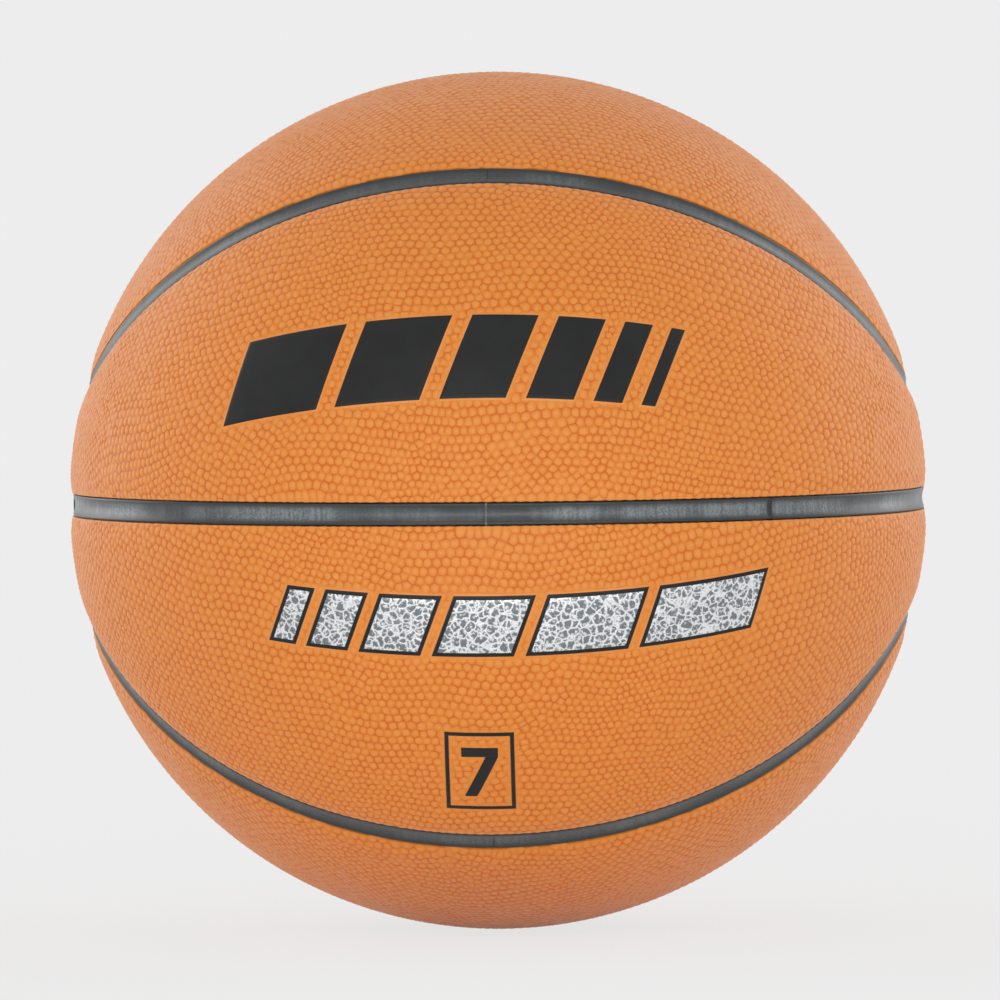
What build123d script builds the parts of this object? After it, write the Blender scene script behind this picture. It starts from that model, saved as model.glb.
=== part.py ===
from build123d import *
import math
import os

# A full-size basketball, in millimetres. The origin is the ball's centre and +Z is up.
# The level seam lies in XY, the upright seam in XZ, and the valve points along -X.

# Cover and the layers under it, from the outside in
ball_diameter = 243.0
panel_thickness = 3.0
carcass_thickness = 0.7
winding_thickness = 0.5
bladder_thickness = 0.9
bond_gap = 0.1  # glue line between two bonded pieces

# Seams: how far a looped seam rises above the level seam, in degrees at the ball's centre
loop_side_rise = 14.9
loop_front_rise = 49.4
channel_width = 6.4
strip_thickness = 1.95  # at its edges
strip_dish = 0.35  # how far its middle is hollowed
strip_lip = 0.3  # flat edge beside the hollow
panel_edge_radius = 1.0
panel_corner_radius = 2.0

# Valve housing
valve_tube_diameter = 7.0
valve_bore_diameter = 4.4
valve_flange_diameter = 34.0
valve_flange_thickness = 1.2
valve_barrel_diameter = 9.0
valve_barrel_overhang = 0.3  # past the tip of the core
valve_root_radius = 1.0

# Valve core, a plug with a blind bore for the needle
core_length = 16.0
core_head_diameter = 5.4
core_head_thickness = 0.9
core_clearance = 0.1
core_tip_radius = 0.6
core_slit_length = 4.2  # closed end of the plug, which the needle opens
needle_bore_diameter = 2.0
needle_funnel_diameter = 3.0
needle_funnel_depth = 0.8

# Radii of the layers
cover_radius = ball_diameter / 2
cover_inner_radius = cover_radius - panel_thickness
carcass_radius = cover_inner_radius - bond_gap
carcass_inner_radius = carcass_radius - carcass_thickness
winding_radius = carcass_inner_radius - bond_gap
winding_inner_radius = winding_radius - winding_thickness
bladder_radius = winding_inner_radius - bond_gap
bladder_inner_radius = bladder_radius - bladder_thickness
flange_radius = bladder_inner_radius - bond_gap
flange_inner_radius = flange_radius - valve_flange_thickness

# Strips lie on the carcass, between the walls of the panels
strip_radius = cover_inner_radius + strip_thickness
half_channel = channel_width / 2
half_strip = half_channel - bond_gap
half_channel_angle = math.degrees(math.asin(half_channel / cover_radius))
half_strip_angle = math.degrees(math.asin(half_strip / cover_radius))
half_dish = half_strip - strip_lip
dish_radius = (half_dish**2 + strip_dish**2) / (2 * strip_dish)
dish_path_radius = strip_radius - strip_dish + dish_radius

# The looped seam as two angles from the top of the ball
loop_side_angle = 90 - loop_side_rise
loop_front_angle = 90 - loop_front_rise

# The valve is drawn upright, +Z outwards from the ball's centre, then laid along -X
lay_along_valve = Rot(0, -90, 0)
core_bottom = strip_radius - core_length
core_radius = valve_bore_diameter / 2 - core_clearance
barrel_bottom = core_bottom - valve_barrel_overhang
needle_bore_length = core_length - core_slit_length - needle_funnel_depth
valve_hole_radius = valve_tube_diameter / 2 + bond_gap


def shell(outer_radius, inner_radius):
    """A hollow ball."""
    return Sphere(outer_radius) - Sphere(inner_radius)


def half_space(*align):
    """All the room round the ball on one side of the planes that the alignments name."""
    return Box(2 * ball_diameter, 2 * ball_diameter, 2 * ball_diameter, align=align)


def seam_slab(plane, half_width):
    """The flat slab of space that a great-circle seam takes up."""
    return extrude(plane * Rectangle(ball_diameter, ball_diameter), half_width, both=True)


def loop_cone(widen):
    """The space inside the upper looped seam: an elliptic cone from the ball's centre.

    Its two half angles grow by the angle widen, which sets the seam's width at the front, the back
    and the sides. Between those the seam is up to about a fifth narrower.
    """
    side = math.tan(math.radians(loop_side_angle + widen))
    front = math.tan(math.radians(loop_front_angle + widen))
    low = half_channel
    high = dish_path_radius + channel_width
    ends = [Pos(0, 0, z) * Ellipse(z * side, z * front) for z in (low, high)]
    return loft([end.face() for end in ends], ruled=True)


def rounded_panel(panel):
    """A panel with its corners rounded in plan and its outer rim rolled over."""

    def spans_thickness(edge):
        ends = [vertex.center().length for vertex in edge.vertices()]
        return len(ends) == 2 and abs(ends[0] - ends[1]) > panel_thickness / 2

    def on_outside(edge):
        return abs((edge @ 0.5).length - cover_radius) < bond_gap

    panel = fillet(panel.edges().filter_by(spans_thickness), panel_corner_radius)
    rim_radius = min(panel_edge_radius, panel_thickness - bond_gap)
    return fillet(panel.edges().filter_by(on_outside), rim_radius)


def cover_panels():
    """The band panel and the cap panel of the upper front quarter."""
    room = Pos(0, -half_channel, half_channel) * half_space(Align.CENTER, Align.MAX, Align.MIN)
    quarter = shell(cover_radius, cover_inner_radius) & room
    band = quarter - loop_cone(half_channel_angle)
    cap = quarter & loop_cone(-half_channel_angle)
    return {"band": rounded_panel(band.solid()), "cap": rounded_panel(cap.solid())}


def pierced(layer):
    """A layer, or strips of it, with the hole that the valve tube passes through."""
    hole = Pos(0, 0, cover_radius) * Cylinder(valve_hole_radius, cover_radius)
    return layer - lay_along_valve * hole


def dished_loop(layer):
    """The strip of the upper looped seam, hollowed along its front half and mirrored to the back."""
    front = half_space(Align.CENTER, Align.MAX, Align.CENTER)
    ring = loop_cone(half_strip_angle) - loop_cone(-half_strip_angle)

    def along_seam(edge):
        on_ball = all(abs((edge @ u).length - dish_path_radius) < bond_gap for u in (0, 0.5, 1))
        return on_ball and (edge @ 0.5).Y < -half_channel

    seam = (Sphere(dish_path_radius) & loop_cone(0) & front).edges().filter_by(along_seam)
    path = Wire(seam)
    section = Plane(origin=path @ 0, z_dir=path % 0) * Circle(dish_radius)
    half = (layer & ring & front) - sweep(section, path=path)
    return half + mirror(half, about=Plane.XZ)


def channel_strips():
    """The level ring, and the strips of the upper half: loop, crown arc, left and right arcs."""
    layer = shell(strip_radius, cover_inner_radius)
    dish = Torus(dish_path_radius, dish_radius)
    level = (layer & seam_slab(Plane.XY, half_strip)) - dish
    above = Pos(0, 0, half_channel) * half_space(Align.CENTER, Align.CENTER, Align.MIN)
    upright = (layer & seam_slab(Plane.XZ, half_strip) & above) - Rot(90, 0, 0) * dish
    sides = pierced(upright - loop_cone(half_channel_angle)).solids().sort_by(Axis.X)
    return {
        "level": pierced(level),
        "loop": dished_loop(layer),
        "crown": upright & loop_cone(-half_channel_angle),
        "left": sides[0],
        "right": sides[-1],
    }


def valve_housing():
    """A flange inside the bladder, a tube out to the channel and a barrel round the core."""

    def on_barrel(edge):
        return edge.geom_type == GeomType.CIRCLE and abs(edge.radius - valve_barrel_diameter / 2) < bond_gap

    up = (Align.CENTER, Align.CENTER, Align.MIN)
    disc = Cylinder(valve_flange_diameter / 2, cover_radius, align=up)
    flange = shell(flange_radius, flange_inner_radius) & disc
    barrel = Cylinder(valve_barrel_diameter / 2, flange_inner_radius - barrel_bottom, align=up)
    tube = Cylinder(valve_tube_diameter / 2, cover_radius - barrel_bottom, align=up)
    root = flange + Pos(0, 0, barrel_bottom) * barrel
    barrel_rims = root.edges().filter_by(on_barrel).sort_by(Axis.Z)
    root = fillet(barrel_rims[-1], valve_root_radius)
    housing = (root + Pos(0, 0, barrel_bottom) * tube) & Sphere(strip_radius)
    bore = Cylinder(valve_bore_diameter / 2, cover_radius, align=up)
    seat_radius = core_head_diameter / 2 + core_clearance
    seat_bottom = strip_radius - core_head_thickness - core_clearance
    seat = Pos(0, 0, seat_bottom) * Cylinder(seat_radius, panel_thickness, align=up)
    return lay_along_valve * (housing - bore - seat)


def valve_core():
    """A headed plug with a funnel and a blind needle bore; the slit at its end is closed."""
    up = (Align.CENTER, Align.CENTER, Align.MIN)
    down = (Align.CENTER, Align.CENTER, Align.MAX)
    stem = Pos(0, 0, core_bottom) * Cylinder(core_radius, core_length, align=up)
    stem = fillet(stem.edges().group_by(Axis.Z)[0], core_tip_radius)
    head = Pos(0, 0, strip_radius) * Cylinder(core_head_diameter / 2, core_head_thickness, align=down)
    funnel = Pos(0, 0, strip_radius) * Cone(
        needle_bore_diameter / 2, needle_funnel_diameter / 2, needle_funnel_depth, align=down
    )
    bore_top = strip_radius - needle_funnel_depth
    bore = Pos(0, 0, bore_top) * Cylinder(needle_bore_diameter / 2, needle_bore_length, align=down)
    return lay_along_valve * (stem + head - funnel - bore)


def placed(piece, level, face):
    """An upper front piece, mirrored to its own quarter of the ball."""
    if face == "back":
        piece = mirror(piece, about=Plane.XZ)
    if level == "lower":
        piece = mirror(piece, about=Plane.XY)
    return piece


pieces = {
    "carcass": pierced(shell(carcass_radius, carcass_inner_radius)),
    "thread_winding": pierced(shell(winding_radius, winding_inner_radius)),
    "bladder": pierced(shell(bladder_radius, bladder_inner_radius)),
    "valve_housing": valve_housing(),
    "valve_core": valve_core(),
}
for kind, panel in cover_panels().items():
    for level in ("upper", "lower"):
        for face in ("front", "back"):
            pieces[f"{level}_{face}_{kind}_panel"] = placed(panel, level, face)
for kind, strip in channel_strips().items():
    if kind == "level":
        pieces["level_channel_strip"] = strip
        continue
    for level in ("upper", "lower"):
        pieces[f"{level}_{kind}_channel_strip"] = placed(strip, level, "front")

os.makedirs("parts", exist_ok=True)
for name, piece in pieces.items():
    export_step(piece, f"parts/{name}.step")
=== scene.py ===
"""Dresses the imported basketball: pebbled panels, rubber channels, plain prints, studio and camera."""

import logging
import math
from collections.abc import Iterator
from contextlib import contextmanager
from dataclasses import dataclass, field
from enum import Enum

import bpy
import numpy as np
from mathutils import Matrix, Vector
from mathutils.geometry import delaunay_2d_cdt

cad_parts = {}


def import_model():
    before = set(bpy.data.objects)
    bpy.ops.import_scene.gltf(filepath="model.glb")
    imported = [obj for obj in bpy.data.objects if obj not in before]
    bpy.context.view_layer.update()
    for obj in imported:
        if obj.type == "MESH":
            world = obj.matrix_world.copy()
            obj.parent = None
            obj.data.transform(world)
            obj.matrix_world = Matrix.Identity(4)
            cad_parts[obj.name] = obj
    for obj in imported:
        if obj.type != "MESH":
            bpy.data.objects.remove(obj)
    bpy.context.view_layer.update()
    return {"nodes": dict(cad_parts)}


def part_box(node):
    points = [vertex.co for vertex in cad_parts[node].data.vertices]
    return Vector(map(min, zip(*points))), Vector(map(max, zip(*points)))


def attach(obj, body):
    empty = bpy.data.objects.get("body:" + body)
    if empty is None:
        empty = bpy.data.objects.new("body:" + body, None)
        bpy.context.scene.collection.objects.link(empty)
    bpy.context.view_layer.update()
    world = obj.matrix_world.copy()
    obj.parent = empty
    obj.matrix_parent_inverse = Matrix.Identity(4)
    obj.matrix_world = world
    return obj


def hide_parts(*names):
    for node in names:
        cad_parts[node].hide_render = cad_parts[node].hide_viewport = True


log = logging.getLogger("basketball")

Colour = tuple[float, float, float, float]
Socket = bpy.types.NodeSocket
MM = 0.001


class Level(Enum):
    """Which side of the level seam a piece lies on, as the sign of Z."""

    UPPER = 1
    LOWER = -1


class Face(Enum):
    """Which side of the upright seam a piece lies on, as the sign of Y."""

    FRONT = -1
    BACK = 1


class PanelKind(Enum):
    """The two panel outlines: the band beside the level seam and the cap inside a looped seam."""

    BAND = "band"
    CAP = "cap"


def colour(red: int, green: int, blue: int) -> Colour:
    """The linear colour of a swatch given in 0 to 255.

    Args:
        red: the swatch's red.
        green: the swatch's green.
        blue: the swatch's blue.

    Returns:
        The colour as Blender's sockets take it, with full alpha.
    """
    shares = [value / 255 for value in (red, green, blue)]
    linear = [s / 12.92 if s <= 0.04045 else ((s + 0.055) / 1.055) ** 2.4 for s in shares]
    return (*linear, 1.0)


def unit(vectors: np.ndarray) -> np.ndarray:
    """The vectors, each scaled to a length of one."""
    return vectors / np.linalg.norm(vectors, axis=-1, keepdims=True)


def vertex_places(thing: bpy.types.Object) -> np.ndarray:
    """The places of an object's vertices, one row each."""
    places = np.empty(len(thing.data.vertices) * 3)
    thing.data.vertices.foreach_get("co", places)
    return places.reshape(-1, 3)


def select_only(thing: bpy.types.Object) -> None:
    """Leaves one object selected and active."""
    bpy.ops.object.select_all(action="DESELECT")
    thing.select_set(True)
    bpy.context.view_layer.objects.active = thing


def smooth(thing: bpy.types.Object, angle: float) -> None:
    """Shades an object smooth, with edges sharper than the angle in degrees left crisp."""
    select_only(thing)
    bpy.ops.object.shade_smooth_by_angle(angle=math.radians(angle))


@contextmanager
def editing(thing: bpy.types.Object) -> Iterator[None]:
    """Edit mode on one object, with the whole mesh selected at the start."""
    select_only(thing)
    bpy.ops.object.mode_set(mode="EDIT")
    bpy.ops.mesh.select_all(action="SELECT")
    yield
    bpy.ops.object.mode_set(mode="OBJECT")


def note(mesh: bpy.types.Mesh, name: str, values: np.ndarray) -> None:
    """Notes a value on each vertex of a mesh, under a name that a material reads."""
    mesh.attributes.new(name, "FLOAT", "POINT").data.foreach_set("value", values)


def mesh_piece(name: str, places: np.ndarray, faces: list) -> bpy.types.Object:
    """A new object at the origin from places and faces.

    Args:
        name: the piece's name.
        places: one row for each vertex.
        faces: vertex numbers for each face.

    Returns:
        The object, in the scene's collection.
    """
    mesh = bpy.data.meshes.new(name)
    mesh.from_pydata(places.tolist(), [], faces)
    mesh.update()
    thing = bpy.data.objects.new(name, mesh)
    bpy.context.scene.collection.objects.link(thing)
    return thing


class NodeBoard:
    """A node tree, with short calls that place and join the nodes used here."""

    def __init__(self, tree: bpy.types.NodeTree) -> None:
        """Keeps the tree that the nodes go into."""
        self.tree = tree

    def add(self, kind: str, inputs: dict | None = None, **settings: object) -> bpy.types.Node:
        """Places one node.

        Args:
            kind: the node's type name.
            inputs: a value or a socket to join, by input name or number.
            settings: properties of the node itself.

        Returns:
            The new node.
        """
        node = self.tree.nodes.new(kind)
        for key, value in settings.items():
            setattr(node, key, value)
        for key, value in (inputs or {}).items():
            if isinstance(value, Socket):
                self.tree.links.new(value, node.inputs[key])
            else:
                node.inputs[key].default_value = value
        return node

    def sum(self, operation: str, first: Socket | float, second: Socket | float = 0.0) -> Socket:
        """One step of arithmetic.

        Args:
            operation: a Math node's operation.
            first: its first value.
            second: its second value.

        Returns:
            The result.
        """
        return self.add("ShaderNodeMath", {0: first, 1: second}, operation=operation).outputs[0]

    def ease(
        self, value: Socket, low: float, high: float, to_low: float = 0.0, to_high: float = 1.0
    ) -> Socket:
        """A smooth step of a value from one range to another.

        Args:
            value: what is mapped.
            low: where the step starts.
            high: where the step ends.
            to_low: the result before the step.
            to_high: the result after the step.

        Returns:
            The mapped value.
        """
        inputs = {"Value": value, "From Min": low, "From Max": high, "To Min": to_low, "To Max": to_high}
        return self.add("ShaderNodeMapRange", inputs, interpolation_type="SMOOTHSTEP").outputs[0]

    def blend(self, share: Socket | float, first: Socket | Colour, second: Socket | Colour) -> Socket:
        """A mix of two colours.

        Args:
            share: how much of the second colour shows.
            first: the colour at a share of 0.
            second: the colour at a share of 1.

        Returns:
            The mixed colour.
        """
        return self.add("ShaderNodeMix", {0: share, 6: first, 7: second}, data_type="RGBA").outputs[2]

    def noise(self, place: Socket, scale: float | Socket, detail: float = 2.0) -> Socket:
        """Soft noise over a place.

        Args:
            place: the coordinates.
            scale: patches to the metre.
            detail: finer layers added.

        Returns:
            The noise, about 0.5 on average.
        """
        inputs = {"Vector": place, "Scale": scale, "Detail": detail}
        return self.add("ShaderNodeTexNoise", inputs).outputs[0]

    def object_place(self) -> Socket:
        """The place of each point in the ball's own frame."""
        return self.add("ShaderNodeTexCoord").outputs["Object"]

    def noted(self, name: str, part: str = "Fac") -> Socket:
        """What a mesh notes on its vertices under a name."""
        return self.add("ShaderNodeAttribute", attribute_name=name).outputs[part]


def moulded_grain() -> bpy.types.NodeTree:
    """The shared grain of moulded rubber and coated leather: mottle, roughness and fine relief.

    Returns:
        The node group, made once and placed in each finish with its own values.
    """
    tree = bpy.data.node_groups.new("Moulded grain", "ShaderNodeTree")
    for name, value in (("Scale", 900.0), ("Least Roughness", 0.4), ("Most Roughness", 0.6)):
        socket = tree.interface.new_socket(name=name, in_out="INPUT", socket_type="NodeSocketFloat")
        socket.default_value = value
    for name in ("Mottle", "Roughness", "Height"):
        tree.interface.new_socket(name=name, in_out="OUTPUT", socket_type="NodeSocketFloat")
    board = NodeBoard(tree)
    given = board.add("NodeGroupInput").outputs
    place = board.object_place()
    fine = board.noise(place, given["Scale"], 3.0)
    broad_share = 0.06
    broad = board.noise(place, board.sum("MULTIPLY", given["Scale"], broad_share), 4.0)
    mottle = board.ease(broad, 0.3, 0.7)
    spread = board.sum("SUBTRACT", given["Most Roughness"], given["Least Roughness"])
    both = board.sum("ADD", board.sum("MULTIPLY", fine, 0.5), board.sum("MULTIPLY", broad, 0.5))
    rough = board.sum("ADD", given["Least Roughness"], board.sum("MULTIPLY", both, spread))
    board.add("NodeGroupOutput", {"Mottle": mottle, "Roughness": rough, "Height": fine})
    return tree


class Finish:
    """A material under way: its board, its shader and the shared grain placed in it."""

    def __init__(self, name: str, grain: bpy.types.NodeTree, scale: float, least: float, most: float) -> None:
        """Starts a material with the grain at its own values.

        Args:
            name: the material's name.
            grain: the shared grain group.
            scale: grains to the metre.
            least: roughness at the smoothest.
            most: roughness at the roughest.
        """
        self.material = bpy.data.materials.new(name)
        self.material.use_nodes = True
        self.board = NodeBoard(self.material.node_tree)
        self.shader = self.material.node_tree.nodes["Principled BSDF"]
        values = {"Scale": scale, "Least Roughness": least, "Most Roughness": most}
        self.grain = self.board.add("ShaderNodeGroup", node_tree=grain)
        for key, value in values.items():
            self.grain.inputs[key].default_value = value

    def mottled(self, dark: Colour, pale: Colour) -> Socket:
        """A colour that wanders between two tones with the grain."""
        return self.board.blend(self.grain.outputs["Mottle"], dark, pale)

    def set(self, looks: dict) -> None:
        """Sets values of the shader, by input name."""
        for name, value in looks.items():
            self.shader.inputs[name].default_value = value

    def join(self, base: Socket, depth: float, strength: float, height: Socket | None = None) -> None:
        """Joins colour, roughness and relief to the shader.

        Args:
            base: the colour.
            depth: the relief's depth in metres.
            strength: how strongly the relief shows.
            height: the relief, or None for the grain's own.
        """
        if height is None:
            height = self.grain.outputs["Height"]
        inputs = {"Height": height, "Distance": depth, "Strength": strength}
        relief = self.board.add("ShaderNodeBump", inputs).outputs[0]
        joined = {"Base Color": base, "Roughness": self.grain.outputs["Roughness"], "Normal": relief}
        for name, socket in joined.items():
            self.material.node_tree.links.new(socket, self.shader.inputs[name])


class Recipe:
    """How a material is made: the grain's scale and roughness, the relief, and what its own paint adds."""

    name: str
    scale: float
    least: float
    most: float
    depth: float
    strength: float

    def material(self, grain: bpy.types.NodeTree) -> bpy.types.Material:
        """Builds the material.

        Args:
            grain: the shared grain group.

        Returns:
            The material.
        """
        finish = Finish(self.name, grain, self.scale, self.least, self.most)
        self.paint(finish)
        return finish.material

    def paint(self, finish: Finish) -> None:
        """Colours the material and joins its relief."""
        raise NotImplementedError


@dataclass(frozen=True)
class PebbledCover(Recipe):
    """Coated pebble-grain cover: pale orange domes, grooves painted deeper orange as shade,
    tops painted paler as wear and highlight, a satin face.

    A step gives where it starts and ends, and may give the results before and after it.
    """

    name: str = "pebbled_cover"
    scale: float = 2600.0
    least: float = 0.42
    most: float = 0.62
    depth: float = 0.06 * MM
    strength: float = 0.35
    dome: Colour = colour(222, 129, 36)
    pale_dome: Colour = colour(227, 142, 54)
    # the tops' tone: wear and painted highlight, paler and greyer than the domes
    crest_wear_and_highlight: Colour = colour(224, 146, 80)
    # painted shade: the grooves darker than the domes, where shade falls between pebbles
    groove: Colour = colour(203, 99, 14)
    gloss: float = 0.4
    sheen: float = 0.22
    sheen_roughness: float = 0.45
    tint_share: float = 0.7
    groove_shade_step: tuple = (0.0, 0.8)
    top_wear_and_highlight_step: tuple = (0.7, 1.0, 0.0, 0.8)

    def paint(self, finish: Finish) -> None:
        """Colours each pebble by its height and its own tint, with painted shade in grooves and wear with
        painted highlight on tops.
        """
        finish.set({"Specular IOR Level": self.gloss})
        finish.set({"Sheen Weight": self.sheen, "Sheen Roughness": self.sheen_roughness})
        board = finish.board
        relief = board.noted("relief")
        tint = board.sum("MULTIPLY", board.noted("tint"), self.tint_share)
        mottle = board.sum("MULTIPLY", finish.grain.outputs["Mottle"], 1 - self.tint_share)
        domes = board.blend(board.sum("ADD", tint, mottle), self.dome, self.pale_dome)
        # painted shade in the grooves between pebbles
        body = board.blend(board.ease(relief, *self.groove_shade_step), self.groove, domes)
        # wear and painted highlight on the pebbles' tops
        base = board.blend(board.ease(relief, *self.top_wear_and_highlight_step), body, self.crest_wear_and_highlight)
        finish.join(base, self.depth, self.strength)


@dataclass(frozen=True)
class ChannelRubber(Recipe):
    """Charcoal satin channel rubber: pale mould line, dark butt joint, bloom with painted highlights, painted
    shade at the edges.
    """

    name: str = "channel_rubber"
    scale: float = 1500.0
    least: float = 0.22
    most: float = 0.42
    depth: float = 0.05 * MM
    strength: float = 0.3
    dark: Colour = colour(42, 45, 46)
    # the pale tone is the bloom's, and also serves as painted highlight
    pale: Colour = colour(126, 133, 136)
    # painted shade: the strip's edges darkened where the panels' rims shade the crevice
    edge: Colour = colour(34, 36, 37)
    mould_line: Colour = colour(118, 121, 120)
    joint: Colour = colour(30, 32, 33)
    streaks_to_the_metre: float = 900.0
    specks_to_the_metre: float = 1700.0
    patches_to_the_metre: float = 38.0
    stretch_step: tuple = (0.34, 0.66, 0.1, 1.0)
    streak_step: tuple = (0.75, 1.25, 0.4, 1.0)
    # keeps the bloom and its painted highlight to the middle of the dish, where reflections fall
    middle_highlight_step: tuple = (0.25, 0.8, 1.0, 0.15)
    # where the painted edge shade starts and ends across the strip
    edge_shade_step: tuple = (0.55, 1.0)
    line_step: tuple = (0.2, 0.8)
    line_across_step: tuple = (0.6, 0.95, 0.45, 0.9)
    joint_step: tuple = (-0.8, -0.2, 1.0, 0.0)

    def paint(self, finish: Finish) -> None:
        """Blooms the rubber in stretches and streaks with painted highlights, paints shade along its edges
        and draws its marks.
        """
        board = finish.board
        across = board.noted("across")
        centre = board.noted("centre", "Vector")
        # the bloom's patches plus the level strip's painted highlights and painted shade
        patches_with_painted_light = board.sum("ADD", board.noise(centre, self.patches_to_the_metre, 3.0), board.noted("painted_light"))
        specks = board.noise(board.object_place(), self.specks_to_the_metre, 3.0)
        streaks = board.sum("ADD", board.noise(centre, self.streaks_to_the_metre, 4.0), specks)
        # bloom mixed with painted highlight: paler patches stand in for reflections on the dish
        blooming_and_highlight = board.ease(patches_with_painted_light, *self.stretch_step)
        fades = (
            board.ease(streaks, *self.streak_step),
            board.ease(across, *self.middle_highlight_step),
            board.noted("scuff"),
        )
        for fade in fades:
            blooming_and_highlight = board.sum("MULTIPLY", blooming_and_highlight, fade)
        body = board.blend(blooming_and_highlight, self.dark, self.pale)
        # painted shade, darker towards the strip's edges beside the panels
        body = board.blend(board.ease(across, *self.edge_shade_step), body, self.edge)
        mark = board.noted("mark")
        line = board.ease(mark, *self.line_step)
        line = board.sum("MULTIPLY", line, board.ease(across, *self.line_across_step))
        base = board.blend(line, body, self.mould_line)
        base = board.blend(board.ease(mark, *self.joint_step), base, self.joint)
        finish.join(base, self.depth, self.strength)


@dataclass(frozen=True)
class Mottled(Recipe):
    """A plain material of two close tones: moulded rubber, print film or pressed leather."""

    name: str
    dark: Colour
    pale: Colour
    scale: float = 700.0
    least: float = 0.45
    most: float = 0.7
    depth: float = 0.08 * MM
    strength: float = 0.4
    gloss: float = 0.5

    def paint(self, finish: Finish) -> None:
        """Mottles the material between its two tones."""
        finish.set({"Specular IOR Level": self.gloss})
        finish.join(finish.mottled(self.dark, self.pale), self.depth, self.strength)


@dataclass(frozen=True)
class WoundThread(Recipe):
    """Nylon thread wound round the bladder in three crossing directions, set in latex."""

    name: str = "wound_thread"
    scale: float = 1800.0
    least: float = 0.45
    most: float = 0.7
    depth: float = 0.2 * MM
    strength: float = 0.6
    thread: Colour = colour(222, 214, 196)
    latex: Colour = colour(150, 128, 92)
    turns: tuple = ((0.3, 0.2, 0.0), (1.1, -0.7, 0.4), (-0.6, 1.2, 0.9))
    threads_to_the_metre: float = 420.0
    wander: float = 0.6
    thread_step: tuple = (0.5, 0.95)

    def paint(self, finish: Finish) -> None:
        """Lays a wave of threads along each turn and keeps whichever stands highest."""
        board = finish.board
        place = board.object_place()
        height: Socket | None = None
        for turn in self.turns:
            turned = board.add("ShaderNodeMapping", {"Vector": place, "Rotation": turn}).outputs[0]
            inputs = {"Vector": turned, "Scale": self.threads_to_the_metre, "Distortion": self.wander}
            wave = board.add("ShaderNodeTexWave", inputs, bands_direction="X").outputs["Fac"]
            height = wave if height is None else board.sum("MAXIMUM", height, wave)
        base = board.blend(board.ease(height, *self.thread_step), self.latex, self.thread)
        finish.join(base, self.depth, self.strength, height)


@dataclass(frozen=True)
class PrintFoil(Recipe):
    """Hot-stamped silver foil, crackled over the pebbles under it."""

    name: str = "print_foil"
    scale: float = 1500.0
    least: float = 0.28
    most: float = 0.46
    depth: float = 0.25 * MM
    strength: float = 0.6
    bright: Colour = colour(236, 238, 239)
    dull: Colour = colour(126, 131, 135)
    metal: float = 0.85
    pebbles_to_the_metre: float = 430.0
    curl: float = 1.6 * MM
    curl_scale: float = 1.6
    crumple_scale: float = 2.4
    groove_step: tuple = (0.02, 0.15, 1.0, 0.0)
    crumple_step: tuple = (0.52, 0.64)
    crumple_tone: float = 0.85
    crumple_height: float = 0.3

    def paint(self, finish: Finish) -> None:
        """Crackles the foil along curled cells and crumples it between them."""
        finish.set({"Metallic": self.metal})
        board = finish.board
        place = board.object_place()
        inputs = {"Vector": place, "Scale": self.curl_scale * self.pebbles_to_the_metre, "Detail": 2.0}
        curl = board.add("ShaderNodeTexNoise", inputs).outputs["Color"]
        inputs = {0: curl, 1: (self.curl, self.curl, self.curl), 2: place}
        curled = board.add("ShaderNodeVectorMath", inputs, operation="MULTIPLY_ADD").outputs[0]
        inputs = {"Vector": curled, "Scale": self.pebbles_to_the_metre}
        pebble = board.add("ShaderNodeTexVoronoi", inputs, feature="DISTANCE_TO_EDGE").outputs["Distance"]
        groove = board.ease(pebble, *self.groove_step)
        crumple = board.noise(place, self.crumple_scale * self.pebbles_to_the_metre, 3.0)
        crumple = board.ease(crumple, *self.crumple_step)
        share = board.sum("MAXIMUM", groove, board.sum("MULTIPLY", crumple, self.crumple_tone))
        base = board.blend(share, self.dull, self.bright)
        height = board.sum("ADD", pebble, board.sum("MULTIPLY", crumple, self.crumple_height))
        finish.join(base, self.depth, self.strength, height)


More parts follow.
